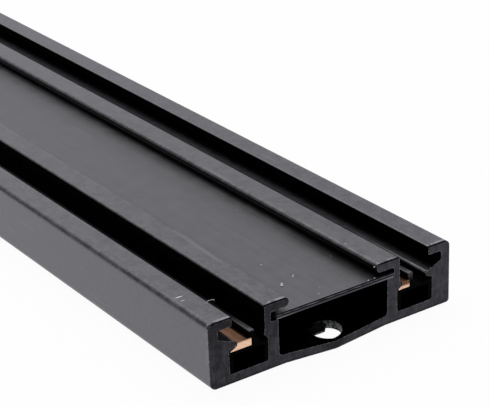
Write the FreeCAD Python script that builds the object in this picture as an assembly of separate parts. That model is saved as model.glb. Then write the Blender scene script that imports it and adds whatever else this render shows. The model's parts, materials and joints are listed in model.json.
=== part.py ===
"""Slim magnetic lighting track, one metre of it, lying on its back with the grooves up.

The aluminium extrusion has two contact grooves and a shallow tray between them. A steel strip
closes the tray, and each groove holds a plastic insulator with a flat copper conductor on it.
X runs across the track, Y along it and Z up. The origin is on the mounting face, in the middle
of the section, at the middle of the length.
"""
import FreeCAD, Part
import os
from math import sqrt, tan, acos
from FreeCAD import Vector

# Overall size
LENGTH = 1000.0
TRACK_WIDTH = 26.0
TRACK_HEIGHT = 6.2

# Walls of the extrusion
FLOOR = 0.88
OUTER_WALL = 2.0
INNER_WALL = 1.1
HOOK_WEB = 0.6
POCKET_WALL = 0.95

# Lips over the grooves and hooks over the steel strip
LIP_REACH = 2.42
LIP_THICKNESS = 0.82
HOOK_REACH = 2.53
HOOK_THICKNESS = 0.82
TRAY_MOUTH = 9.5

# Pockets under the lips and barbs that hold the insulators down, from the top downwards
POCKET_HEIGHT = 0.88
POCKET_FLOOR_FALL = 0.72
OUTER_BARB_NOSE = 0.35
INNER_BARB_NOSE = 0.15
INNER_BARB_BACK = 0.4
BARB_UNDERCUT = 0.33
OUTER_BARB_REACH = 0.7
INNER_BARB_REACH = 0.38
CHAMBER_WIDENING = 0.28

# Rounded edges of the extrusion
TOP_EDGE_RADIUS = 0.58
LEFT_BOTTOM_EDGE_RADIUS = 0.65
RIGHT_BOTTOM_EDGE_RADIUS = 0.3
LIP_TIP_RADIUS = 0.12
HOOK_NOSE_FLAT = 0.04
WEB_EDGE_RADIUS = 0.22
INSIDE_RADIUS = 0.25
CAVITY_RADIUS = 0.4
BARB_RADIUS = 0.07
NOSE_RADIUS = 0.14

# Burr taken off the top edge of the sawn ends
DEBURR = 0.12

# Screw holes through the floor
SCREW_HOLE = 3.0
HOLE_FROM_END = 2.0
HOLE_OFFSET = 0.5
HOLE_COUNT = 4

# Bulge that the end hole's punch left in the floor
BULGE_DEPTH = 0.45
BULGE_THINNING = 0.15
BULGE_HALF_WIDTH = 5.4
BULGE_RUN = 12.0
BULGE_OFFSET = 0.2

# Steel strip
STRIP_THICKNESS = 0.5
STRIP_SIDE_PLAY = 0.65
STRIP_EDGE_GAP = 0.05
STRIP_EDGE_RADIUS = 0.1
SLOT_PLAY = 0.43

# Insulators and conductors
INSULATOR_WALL = 0.35
INSULATOR_SIDE_PLAY = 0.05
INSULATOR_BARB_PLAY = 0.14
RIM_THICKNESS = 0.33
RIM_HEIGHT = 1.36
RIM_BEAD = 0.2
RIM_RADIUS = 0.12
CONDUCTOR_THICKNESS = 0.7
CONDUCTOR_GAP = 0.04
CONDUCTOR_BARB_GAP = 0.15
CONDUCTOR_RADIUS = 0.08
LEFT_CONDUCTOR_WIDTH = 2.15
RIGHT_CONDUCTOR_WIDTH = 1.25

# Places that follow from the sizes above, measured from the middle of the section
half_width = TRACK_WIDTH / 2
lip_underside = TRACK_HEIGHT - LIP_THICKNESS
hook_underside = TRACK_HEIGHT - HOOK_THICKNESS
ledge_height = hook_underside - SLOT_PLAY - STRIP_THICKNESS
pocket_floor = lip_underside - POCKET_HEIGHT
barb_nose_top = pocket_floor - POCKET_FLOOR_FALL
barb_nose_bottom = barb_nose_top - OUTER_BARB_NOSE
barb_root = barb_nose_bottom - BARB_UNDERCUT
chamber_outer = half_width - OUTER_WALL
hook_tip = TRAY_MOUTH / 2
hook_nose_radius = (HOOK_THICKNESS - HOOK_NOSE_FLAT) / 2
web_outer = hook_tip + HOOK_REACH
web_inner = web_outer - HOOK_WEB
chamber_inner = web_outer - CHAMBER_WIDENING
cavity_side = chamber_inner - INNER_WALL
insulator_top = barb_root - INSULATOR_BARB_PLAY
conductor_top = insulator_top + CONDUCTOR_THICKNESS


def outline(corners):
    """A closed wire in the XZ plane through (x, z, radius) corners, rounded by tangent arcs."""
    points = [Vector(x, 0, z) for x, z, _ in corners]
    starts, middles, ends = [], [], []
    for index, (_, _, radius) in enumerate(corners):
        corner = points[index]
        back = (points[index - 1] - corner).normalize()
        ahead = (points[(index + 1) % len(points)] - corner).normalize()
        half_angle = acos(max(-1.0, min(1.0, back.dot(ahead)))) / 2
        reach = radius / tan(half_angle)
        starts.append(corner + back * reach)
        ends.append(corner + ahead * reach)
        to_centre = sqrt(radius**2 + reach**2)
        middles.append(corner + (back + ahead).normalize() * (to_centre - radius) if radius else corner)
    edges = []
    for index, (_, _, radius) in enumerate(corners):
        if radius:
            edges.append(Part.Arc(starts[index], middles[index], ends[index]).toShape())
        following = starts[(index + 1) % len(points)]
        if ends[index].distanceToPoint(following) > 1e-6:
            edges.append(Part.LineSegment(ends[index], following).toShape())
    return Part.Wire(edges)


def extrude(corners):
    """A solid of the full length with the given section."""
    face = Part.Face(outline(corners))
    solid = face.extrude(Vector(0, LENGTH, 0))
    solid.translate(Vector(0, -LENGTH / 2, 0))
    return solid


def mirrored(corners):
    """The same corners on the other side of the section's middle, in the order that goes on round it."""
    return [(-x, z, radius) for x, z, radius in reversed(corners)]


def right_half(bottom_radius):
    """Corners of the extrusion's right half, from the bottom edge round to the cavity's floor."""
    outer_tip = chamber_outer - OUTER_BARB_REACH
    inner_tip = chamber_inner + INNER_BARB_REACH
    inner_nose_top = barb_nose_bottom + INNER_BARB_NOSE
    pocket_side = half_width - POCKET_WALL
    return [
        (half_width, 0, bottom_radius),
        (half_width, TRACK_HEIGHT, TOP_EDGE_RADIUS),
        (half_width - LIP_REACH, TRACK_HEIGHT, LIP_TIP_RADIUS),
        (half_width - LIP_REACH, lip_underside, LIP_TIP_RADIUS),
        (pocket_side, lip_underside, INSIDE_RADIUS),
        (pocket_side, pocket_floor, INSIDE_RADIUS),
        (outer_tip, barb_nose_top, NOSE_RADIUS),
        (outer_tip, barb_nose_bottom, NOSE_RADIUS),
        (chamber_outer, barb_root, BARB_RADIUS),
        (chamber_outer, FLOOR, INSIDE_RADIUS),
        (chamber_inner, FLOOR, INSIDE_RADIUS),
        (chamber_inner, barb_root, BARB_RADIUS),
        (inner_tip, barb_nose_bottom, BARB_RADIUS),
        (inner_tip, inner_nose_top, BARB_RADIUS),
        (web_outer, inner_nose_top + INNER_BARB_BACK, BARB_RADIUS),
        (web_outer, TRACK_HEIGHT, WEB_EDGE_RADIUS),
        (hook_tip, TRACK_HEIGHT, hook_nose_radius),
        (hook_tip, hook_underside, hook_nose_radius),
        (web_inner, hook_underside, INSIDE_RADIUS),
        (web_inner, ledge_height, BARB_RADIUS),
        (cavity_side, ledge_height, BARB_RADIUS),
        (cavity_side, FLOOR, CAVITY_RADIUS),
    ]


def floor_bulge(height, depth):
    """The four-sided bulge at the front end, with its flat side at the given height."""
    front = -LENGTH / 2
    left = Vector(BULGE_OFFSET - BULGE_HALF_WIDTH, front, height)
    right = Vector(BULGE_OFFSET + BULGE_HALF_WIDTH, front, height)
    back = Vector(BULGE_OFFSET, front + BULGE_RUN, height)
    crest = Vector(BULGE_OFFSET, front, height - depth)
    sides = [(left, right, back), (left, crest, right), (right, crest, back), (back, crest, left)]
    faces = [Part.Face(Part.makePolygon([a, b, c, a])) for a, b, c in sides]
    return Part.makeSolid(Part.makeShell(faces))


def screw_hole_places():
    """Distances of the hole centres along Y, the same from either end."""
    first = -LENGTH / 2 + HOLE_FROM_END
    pitch = (LENGTH - 2 * HOLE_FROM_END) / (HOLE_COUNT - 1)
    return [first + pitch * index for index in range(HOLE_COUNT)]


def top_wedge(end):
    """A slim wedge that bevels the top edge of the sawn end on that side, -1 or 1."""
    margin = DEBURR
    reach = DEBURR + 2 * margin
    inward, down, across = Vector(0, -end, 0), Vector(0, 0, -1), Vector(1, 0, 0)
    edge_start = Vector(-half_width, end * LENGTH / 2, TRACK_HEIGHT)
    start = edge_start - (inward + down + across) * margin
    corners = [start, start + inward * reach, start + down * reach, start]
    face = Part.Face(Part.makePolygon(corners))
    return face.extrude(across * (TRACK_WIDTH + 2 * margin))


def track_profile():
    """The extrusion, with its floor pushed down at the front end and drilled for screws."""
    right = right_half(RIGHT_BOTTOM_EDGE_RADIUS)
    left = mirrored(right_half(LEFT_BOTTOM_EDGE_RADIUS))
    profile = extrude(right + left)
    for end in (-1, 1):
        profile = profile.cut(top_wedge(end))
    profile = profile.fuse(floor_bulge(0, BULGE_DEPTH))
    profile = profile.cut(floor_bulge(FLOOR, BULGE_DEPTH + BULGE_THINNING)).removeSplitter()
    drill_length = 2 * (BULGE_DEPTH + FLOOR)
    for place in screw_hole_places():
        drill_tip = Vector(HOLE_OFFSET, place, FLOOR / 2 - drill_length / 2)
        profile = profile.cut(Part.makeCylinder(SCREW_HOLE / 2, drill_length, drill_tip))
    return profile


def steel_strip():
    """The strip that luminaires hold on to, lying on the ledges against the right-hand web."""
    right = web_inner - STRIP_EDGE_GAP
    left = STRIP_SIDE_PLAY - web_inner
    top = ledge_height + STRIP_THICKNESS
    corners = [
        (left, ledge_height, STRIP_EDGE_RADIUS),
        (right, ledge_height, STRIP_EDGE_RADIUS),
        (right, top, STRIP_EDGE_RADIUS),
        (left, top, STRIP_EDGE_RADIUS),
    ]
    return extrude(corners)


def conductor_left_edges(wall, barb_reach):
    """X of the conductor's toe under the barb and of its edge beside the barb's tip."""
    return wall + CONDUCTOR_BARB_GAP, wall + barb_reach + CONDUCTOR_BARB_GAP


def conductor(wall, barb_reach, width):
    """A flat copper bar whose left-hand edge is bevelled to pass under the barb on that wall."""
    toe, edge = conductor_left_edges(wall, barb_reach)
    slope = BARB_UNDERCUT / barb_reach
    drop = CONDUCTOR_BARB_GAP * sqrt(1 + slope**2)
    toe_top = barb_root + slope * (toe - wall) - drop
    bevel_top = barb_root + slope * (edge - wall) - drop
    corners = [
        (toe, insulator_top, 0),
        (toe + width, insulator_top, CONDUCTOR_RADIUS),
        (toe + width, conductor_top, CONDUCTOR_RADIUS),
        (edge, conductor_top, CONDUCTOR_RADIUS),
        (edge, bevel_top, 0),
        (toe, toe_top, 0),
    ]
    return extrude(corners)


def insulator(left_wall, right_wall, conductor_right):
    """An upside-down channel between two chamber walls, with a rim that grips the conductor's right edge."""
    left = left_wall + INSULATOR_SIDE_PLAY
    right = right_wall - INSULATOR_SIDE_PLAY
    underside = insulator_top - INSULATOR_WALL
    rim_left = conductor_right + CONDUCTOR_GAP
    rim_right = rim_left + RIM_THICKNESS
    rim_top = insulator_top + RIM_HEIGHT
    bead_underside = conductor_top + CONDUCTOR_GAP
    corners = [
        (left, FLOOR, INSIDE_RADIUS),
        (left, insulator_top, 0),
        (rim_left, insulator_top, 0),
        (rim_left, bead_underside, 0),
        (rim_left - RIM_BEAD, bead_underside + RIM_BEAD, 0),
        (rim_left - RIM_BEAD, rim_top, RIM_RADIUS),
        (rim_right, rim_top, RIM_RADIUS),
        (rim_right, insulator_top, 0),
        (right, insulator_top, 0),
        (right, FLOOR, INSIDE_RADIUS),
        (right - INSULATOR_WALL, FLOOR, 0),
        (right - INSULATOR_WALL, underside, 0),
        (left + INSULATOR_WALL, underside, 0),
        (left + INSULATOR_WALL, FLOOR, 0),
    ]
    return extrude(corners)


def build():
    """Every piece by its name."""
    left_toe, _ = conductor_left_edges(-chamber_outer, OUTER_BARB_REACH)
    right_toe, _ = conductor_left_edges(chamber_inner, INNER_BARB_REACH)
    return {
        "track_profile": track_profile(),
        "steel_strip": steel_strip(),
        "insulator_left": insulator(-chamber_outer, -chamber_inner, left_toe + LEFT_CONDUCTOR_WIDTH),
        "insulator_right": insulator(chamber_inner, chamber_outer, right_toe + RIGHT_CONDUCTOR_WIDTH),
        "conductor_left": conductor(-chamber_outer, OUTER_BARB_REACH, LEFT_CONDUCTOR_WIDTH),
        "conductor_right": conductor(chamber_inner, INNER_BARB_REACH, RIGHT_CONDUCTOR_WIDTH),
    }


os.makedirs("parts", exist_ok=True)
for name, shape in build().items():
    shape.exportStep(f"parts/{name}.step")
    print(name, shape.isValid(), len(shape.Solids), round(shape.Volume, 1), shape.BoundBox)
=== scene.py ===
"""Dresses a black magnetic lighting track and lays it on a pale studio floor.

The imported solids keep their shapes. This script gives them their finishes, adds the sawing
debris that lies on them, and places the camera, the light and the floor.
"""

import json
import logging
import math
import random
from collections.abc import Callable
from dataclasses import dataclass
from enum import Enum
from functools import cached_property, partial, reduce

import bmesh
import bpy
from mathutils import Matrix, Vector


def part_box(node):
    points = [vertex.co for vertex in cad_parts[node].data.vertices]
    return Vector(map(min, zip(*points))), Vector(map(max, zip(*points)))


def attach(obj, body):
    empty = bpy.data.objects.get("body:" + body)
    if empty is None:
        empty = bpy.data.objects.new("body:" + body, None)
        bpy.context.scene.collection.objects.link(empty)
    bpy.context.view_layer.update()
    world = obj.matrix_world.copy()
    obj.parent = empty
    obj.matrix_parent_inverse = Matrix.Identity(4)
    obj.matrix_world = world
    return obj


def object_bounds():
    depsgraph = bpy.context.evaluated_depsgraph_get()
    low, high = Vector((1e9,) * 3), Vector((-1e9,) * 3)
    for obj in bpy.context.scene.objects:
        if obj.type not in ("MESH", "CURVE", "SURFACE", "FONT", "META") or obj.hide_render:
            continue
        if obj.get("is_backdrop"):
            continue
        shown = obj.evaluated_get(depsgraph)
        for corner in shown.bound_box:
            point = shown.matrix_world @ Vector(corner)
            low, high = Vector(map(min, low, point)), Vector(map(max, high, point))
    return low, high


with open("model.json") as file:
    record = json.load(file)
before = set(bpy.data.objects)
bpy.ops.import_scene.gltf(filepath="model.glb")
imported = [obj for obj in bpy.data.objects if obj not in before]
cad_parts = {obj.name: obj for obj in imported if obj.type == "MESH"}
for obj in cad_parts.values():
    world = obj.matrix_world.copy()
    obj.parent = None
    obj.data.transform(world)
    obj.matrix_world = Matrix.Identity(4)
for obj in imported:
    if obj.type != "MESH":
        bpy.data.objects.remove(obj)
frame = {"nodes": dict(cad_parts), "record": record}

LOG = logging.getLogger("lighting_track")
MM = 0.001
BODY = "root"
HALF_LENGTH = 500.0 * MM
HALF_WIDTH = 13.0 * MM
HOOK_TIP = 4.75 * MM
SENSOR_WIDTH = 36.0
DUST_ROUGHNESS = 0.9
# How far a surface faces up where a wall or a slope starts to count and where it counts in full,
# and from where it counts as level.
STEEP = (0.5, 0.2)
SLOPING = (0.3, 0.6)
LEVEL = 0.8
# Places of the mixing node's sockets, which it has apart for values and for colours.
VALUE_INPUTS = (2, 3)
COLOUR_INPUTS = (6, 7)
COLOUR_OUTPUT = 2

Colour = tuple[float, float, float]
Point = tuple[float, float, float]
Span = tuple[float, float]
Socket = bpy.types.NodeSocket
Feed = Socket | float | Colour


class Effect(Enum):
    """Surface effects that several finishes share, each one shader node group."""

    DRAWN_LINES = "drawn_lines"
    FINE_GRAIN = "fine_grain"
    SAWN_END = "sawn_end"
    SAW_MARKS = "saw_marks"
    EDGE_WEAR = "edge_wear"
    DUST = "dust"
    SCUFFS = "scuffs"
    CLOUDS = "clouds"


class Sum(Enum):
    """Operations of the maths node."""

    SUBTRACT = "SUBTRACT"
    MULTIPLY = "MULTIPLY"
    DIVIDE = "DIVIDE"
    ABSOLUTE = "ABSOLUTE"
    GREATER = "GREATER_THAN"
    LESS = "LESS_THAN"
    LARGEST = "MAXIMUM"


class Overlay(Enum):
    """Ways of laying one colour over another."""

    COVER = "MIX"
    ADD = "ADD"


@dataclass
class NodeBench:
    """Places and joins shader nodes in one tree.

    Attributes:
        tree: The node tree that is being built.
    """

    tree: bpy.types.NodeTree

    def add(self, kind: str, *feeds: Feed, **settings: object) -> bpy.types.Node:
        """Places a node.

        Args:
            kind: Blender's type name of the node.
            *feeds: What goes into its first inputs, in their order.
            **settings: Properties to set on the node.

        Returns:
            The new node.
        """
        node = self.tree.nodes.new(kind)
        for name, value in settings.items():
            setattr(node, name, value)
        for target, value in zip(node.inputs, feeds):
            self.feed(target, value)
        return node

    def feed(self, target: Socket, value: Feed) -> None:
        """Links a socket into another, or sets a plain value on it.

        Args:
            target: The input socket.
            value: An output socket, a number, or a colour.
        """
        if isinstance(value, bpy.types.NodeSocket):
            self.tree.links.new(value, target)
        elif target.type == "RGBA":
            target.default_value = (*value, 1.0)
        else:
            target.default_value = value

    def sum(self, operation: Sum, first: Feed, second: Feed = 0.0, clamp: bool = False) -> Socket:
        """Works out one value from two, clamped to 0 and 1 on request."""
        node = self.add("ShaderNodeMath", first, second, operation=operation.value, use_clamp=clamp)
        return node.outputs[0]

    def times(self, *values: Feed) -> Socket:
        """The product of several values."""
        return reduce(partial(self.sum, Sum.MULTIPLY), values)

    def largest(self, *values: Feed) -> Socket:
        """The largest of several values."""
        return reduce(partial(self.sum, Sum.LARGEST), values)

    def above(self, value: Feed, limit: Feed) -> Socket:
        """One where a value is over a limit, and nought elsewhere."""
        return self.sum(Sum.GREATER, value, limit)

    def below(self, value: Feed, limit: Feed) -> Socket:
        """One where a value is under a limit, and nought elsewhere."""
        return self.sum(Sum.LESS, value, limit)

    def within(self, value: Feed, low: float, high: float) -> Socket:
        """One where a value lies between two limits, and nought elsewhere."""
        return self.times(self.above(value, low), self.below(value, high))

    def span(self, value: Feed, low: float, high: float, start: float = 0.0, end: float = 1.0) -> Socket:
        """Carries a value from one range to another, smoothly and clamped.

        Args:
            value: The value to carry over.
            low: Where the first range starts.
            high: Where the first range ends.
            start: What low becomes.
            end: What high becomes.

        Returns:
            The new value's socket.
        """
        ends = (low, high, start, end)
        node = self.add("ShaderNodeMapRange", value, *ends, interpolation_type="SMOOTHSTEP")
        return node.outputs["Result"]

    def blend(self, share: Feed, first: Feed, second: Feed, way: Overlay = Overlay.COVER) -> Socket:
        """Lays one colour over another.

        Args:
            share: 0 for the first colour alone, 1 for all of the second.
            first: The colour underneath.
            second: The colour laid over it.
            way: How it is laid over.

        Returns:
            The mixed colour's socket.
        """
        node = self.add("ShaderNodeMix", share, data_type="RGBA", blend_type=way.value)
        for port, colour in zip(COLOUR_INPUTS, (first, second)):
            self.feed(node.inputs[port], colour)
        return node.outputs[COLOUR_OUTPUT]

    def between(self, share: Feed, first: Feed, second: Feed) -> Socket:
        """Mixes two values.

        Args:
            share: 0 for the first value, 1 for the second.
            first: The value at share 0.
            second: The value at share 1.

        Returns:
            The mixed value's socket.
        """
        node = self.add("ShaderNodeMix", share, data_type="FLOAT")
        for port, value in zip(VALUE_INPUTS, (first, second)):
            self.feed(node.inputs[port], value)
        return node.outputs[0]

    @cached_property
    def place(self) -> Socket:
        """Object coordinates, in metres, in the part's own frame."""
        return self.add("ShaderNodeTexCoord").outputs["Object"]

    @cached_property
    def _axes(self) -> tuple[Socket, ...]:
        """The three object coordinates apart."""
        return tuple(self.add("ShaderNodeSeparateXYZ", self.place).outputs)

    @cached_property
    def across(self) -> Socket:
        """Place across the track, from its middle line."""
        return self._axes[0]

    @cached_property
    def along(self) -> Socket:
        """Place along the track, from the middle of its length."""
        return self._axes[1]

    @cached_property
    def height(self) -> Socket:
        """Height above the mounting face."""
        return self._axes[2]

    @cached_property
    def aside(self) -> Socket:
        """Distance from the middle line."""
        return self.sum(Sum.ABSOLUTE, self.across)

    @cached_property
    def away(self) -> Socket:
        """Distance from the middle of the length."""
        return self.sum(Sum.ABSOLUTE, self.along)

    @cached_property
    def facing(self) -> Socket:
        """How far the surface faces up, from -1 to 1."""
        normal = self.add("ShaderNodeNewGeometry").outputs["Normal"]
        return self.add("ShaderNodeSeparateXYZ", normal).outputs["Z"]

    def by_end(self, length: float) -> Socket:
        """Rises from 0 at a length from the sawn ends to 1 at them."""
        return self.span(self.away, HALF_LENGTH - length, HALF_LENGTH)

    def share_up(self, bottom: float, thickness: float) -> Socket:
        """How far up a piece the point lies, as a share of its thickness."""
        return self.sum(Sum.DIVIDE, self.sum(Sum.SUBTRACT, self.height, bottom), thickness)

    def stretch(self, vector: Socket, *scale: Feed) -> Socket:
        """Scales a vector by its own amount on each axis."""
        amounts = self.add("ShaderNodeCombineXYZ", *scale).outputs[0]
        return self.add("ShaderNodeVectorMath", vector, amounts, operation="MULTIPLY").outputs[0]

    def noise(self, vector: Socket, detail: float, roughness: float) -> Socket:
        """A noise value on a vector that is already scaled.

        Args:
            vector: Where to read the noise.
            detail: How many finer layers it has.
            roughness: How strong the finer layers are.

        Returns:
            The noise value's socket, about 0.3 to 0.7.
        """
        node = self.add("ShaderNodeTexNoise")
        values = {"Vector": vector, "Scale": 1.0, "Detail": detail, "Roughness": roughness}
        for name, value in values.items():
            self.feed(node.inputs[name], value)
        return node.outputs[0]


@dataclass
class EffectRecipes:
    """How the shared effects are made, each inside its own node group.

    Attributes:
        bench: The group's bench.
        given: The group's inputs.
    """

    bench: NodeBench
    given: bpy.types.NodeOutputs

    def _even(self, name: str) -> Socket:
        """Object coordinates on the scale of one of the inputs."""
        rate = self.given[name]
        return self.bench.stretch(self.bench.place, rate, rate, rate)

    def _lengthwise(self, name: str) -> Socket:
        """Object coordinates on the scale of one of the inputs, drawn out along the track."""
        rate = self.given[name]
        return self.bench.stretch(self.bench.place, rate, self._run(rate), rate)

    def _run(self, rate: Socket) -> Socket:
        """The scale along lines that have a scale across."""
        return self.bench.times(rate, self.given["Run"])

    def drawn_lines(self) -> Socket:
        """Fine lines along the length, from the die or the rolls."""
        lines = self.bench.noise(self._lengthwise("Lines per metre"), detail=3.0, roughness=0.6)
        return self.bench.span(lines, low=0.28, high=0.72)

    def fine_grain(self) -> Socket:
        """Even fine grain of a matt coat."""
        grain = self.bench.noise(self._even("Grains per metre"), detail=4.0, roughness=0.7)
        return self.bench.span(grain, low=0.3, high=0.7)

    def clouds(self) -> Socket:
        """Cloudy change of tone over the surface."""
        clouds = self.bench.noise(self._even("Clouds per metre"), detail=5.0, roughness=0.6)
        return self.bench.span(clouds, low=0.32, high=0.68)

    def sawn_end(self) -> Socket:
        """One on what lies within a depth of either end."""
        reach = self.bench.sum(Sum.SUBTRACT, HALF_LENGTH, self.given["Depth"])
        return self.bench.above(self.bench.away, reach)

    def saw_marks(self) -> Socket:
        """Scratches across the end face, slanting as the blade passed.

        Returns:
            The mask.
        """
        turn = self.bench.add("ShaderNodeVectorRotate", rotation_type="Y_AXIS")
        self.bench.feed(turn.inputs["Vector"], self.bench.place)
        self.bench.feed(turn.inputs["Angle"], self.given["Slant"])
        rate = self.given["Marks per metre"]
        vector = self.bench.stretch(turn.outputs[0], rate, rate, self._run(rate))
        marks = self.bench.noise(vector, detail=4.0, roughness=0.65)
        return self.bench.span(marks, low=0.3, high=0.72)

    def edge_wear(self) -> Socket:
        """Broken lines along the sharp edges, where the coat is thin.

        Returns:
            The mask.
        """
        soft = self.bench.add("ShaderNodeBevel", self.given["Radius"], samples=6).outputs[0]
        hard = self.bench.add("ShaderNodeNewGeometry").outputs["Normal"]
        agree = self.bench.add("ShaderNodeVectorMath", soft, hard, operation="DOT_PRODUCT")
        edge = self.bench.span(agree.outputs["Value"], low=0.995, high=0.9)
        breaks = self.bench.noise(self._even("Breaks per metre"), detail=2.0, roughness=0.5)
        return self.bench.times(edge, self.bench.span(breaks, low=0.4, high=0.6))

    def dust(self) -> Socket:
        """Pale specks on what faces up, thickest by the sawn ends.

        Returns:
            The mask.
        """
        cells = self.bench.add("ShaderNodeTexVoronoi", voronoi_dimensions="2D")
        self.bench.feed(cells.inputs["Vector"], self._even("Specks per metre"))
        cells.inputs["Scale"].default_value = 1.0
        chance, size, _ = self.bench.add("ShaderNodeSeparateColor", cells.outputs["Color"]).outputs
        inside = self.bench.sum(Sum.SUBTRACT, HALF_LENGTH, self.bench.away)
        near = self.bench.sum(Sum.DIVIDE, inside, self.given["Spread"], clamp=True)
        amount = self.bench.times(self.bench.between(near, 1.0, self.given["Least"]), self.given["Amount"])
        reach = self.bench.times(size, self.given["Size"])
        speck = self.bench.below(cells.outputs["Distance"], reach)
        level = self.bench.above(self.bench.facing, LEVEL)
        return self.bench.times(self.bench.below(chance, amount), speck, level)

    def scuffs(self) -> Socket:
        """Sparse light scratches along the length, in patches.

        Returns:
            The mask.
        """
        scratches = self.bench.noise(self._lengthwise("Scratches per metre"), detail=1.0, roughness=0.5)
        patches = self.bench.noise(self._even("Patches per metre"), detail=1.0, roughness=0.5)
        scratches = self.bench.span(scratches, low=0.62, high=0.70)
        return self.bench.times(scratches, self.bench.span(patches, low=0.46, high=0.62))


Recipe = Callable[[EffectRecipes], Socket]
RECIPES: dict[Effect, tuple[Recipe, dict[str, float]]] = {
    Effect.DRAWN_LINES: (EffectRecipes.drawn_lines, {"Lines per metre": 6000.0, "Run": 0.004}),
    Effect.FINE_GRAIN: (EffectRecipes.fine_grain, {"Grains per metre": 9000.0}),
    Effect.SAWN_END: (EffectRecipes.sawn_end, {"Depth": 0.02 * MM}),
    Effect.SAW_MARKS: (EffectRecipes.saw_marks, {"Marks per metre": 9000.0, "Run": 0.12, "Slant": 0.5}),
    Effect.EDGE_WEAR: (EffectRecipes.edge_wear, {"Radius": 0.06 * MM, "Breaks per metre": 4000.0}),
    Effect.DUST: (
        EffectRecipes.dust,
        {"Specks per metre": 900.0, "Size": 0.09, "Amount": 0.2, "Least": 0.15, "Spread": 0.03},
    ),
    Effect.SCUFFS: (
        EffectRecipes.scuffs,
        {"Scratches per metre": 3000.0, "Run": 0.03, "Patches per metre": 120.0},
    ),
    Effect.CLOUDS: (EffectRecipes.clouds, {"Clouds per metre": 500.0}),
}


class EffectShelf:
    """Builds each shared effect once and places it in the materials that ask for it."""

    def __init__(self) -> None:
        """Starts with no group built."""
        self._made: dict[Effect, bpy.types.NodeTree] = {}

    def put(self, bench: NodeBench, effect: Effect, **values: float) -> Socket:
        """Places an effect in a material.

        Args:
            bench: The material's bench.
            effect: Which effect.
            **values: Its inputs, with underscores for spaces.

        Returns:
            The effect's mask.
        """
        if effect not in self._made:
            self._made[effect] = self._build(effect)
        node = bench.add("ShaderNodeGroup", node_tree=self._made[effect])
        for name, value in values.items():
            node.inputs[name.replace("_", " ")].default_value = value
        return node.outputs["Mask"]

    @staticmethod
    def _build(effect: Effect) -> bpy.types.NodeTree:
        """Builds the group of an effect.

        Args:
            effect: Which effect.

        Returns:
            The group, with numbers as its inputs and a mask as its output.
        """
        recipe, inputs = RECIPES[effect]
        tree = bpy.data.node_groups.new(effect.value, "ShaderNodeTree")
        for name, value in inputs.items():
            socket = tree.interface.new_socket(name, in_out="INPUT", socket_type="NodeSocketFloat")
            socket.default_value = value
        tree.interface.new_socket("Mask", in_out="OUTPUT", socket_type="NodeSocketFloat")
        bench = NodeBench(tree)
        given = bench.add("NodeGroupInput").outputs
        bench.add("NodeGroupOutput", recipe(EffectRecipes(bench, given)))
        return tree


@dataclass(frozen=True)
class Look:
    """What a finish feeds into its surface shader.

    Attributes:
        colour: Colour of the surface.
        roughness: Its roughness.
        relief: Its fine relief, from 0 to 1.
        metallic: How metallic it is.
    """

    colour: Socket
    roughness: Socket
    relief: Socket
    metallic: Feed = 0.0


@dataclass(frozen=True)
class Finish:
    """What every finish of the track has.

    Attributes:
        name: The material's name.
        ior: Index of refraction of the surface.
        depth: Depth of the fine relief.
        roughness: Roughness at the dark and at the light end of the tone.
    """

    name: str
    ior: float = 1.76
    depth: float = 0.005 * MM
    roughness: Span = (0.30, 0.46)

    def material(self, shelf: EffectShelf) -> bpy.types.Material:
        """Builds the finish.

        Args:
            shelf: The shared effects.

        Returns:
            The finished material.
        """
        material = bpy.data.materials.new(self.name)
        material.use_nodes = True
        bench = NodeBench(material.node_tree)
        surface = next(n for n in material.node_tree.nodes if n.type == "BSDF_PRINCIPLED")
        surface.inputs["IOR"].default_value = self.ior
        look = self._look(bench, shelf)
        bump = bench.add("ShaderNodeBump")
        bump.inputs["Distance"].default_value = self.depth
        bench.feed(bump.inputs["Height"], look.relief)
        feeds = {
            "Base Color": look.colour,
            "Roughness": look.roughness,
            "Metallic": look.metallic,
            "Normal": bump.outputs["Normal"],
        }
        for name, value in feeds.items():
            bench.feed(surface.inputs[name], value)
        return material

    def _look(self, bench: NodeBench, shelf: EffectShelf) -> Look:
        """Joins the nodes of the finish, in each finish its own way."""
        raise NotImplementedError

    def _sheen(self, bench: NodeBench, tone: Socket) -> Socket:
        """Roughness that follows a tone from 0 to 1."""
        return bench.span(tone, 0.0, 1.0, *self.roughness)


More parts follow.
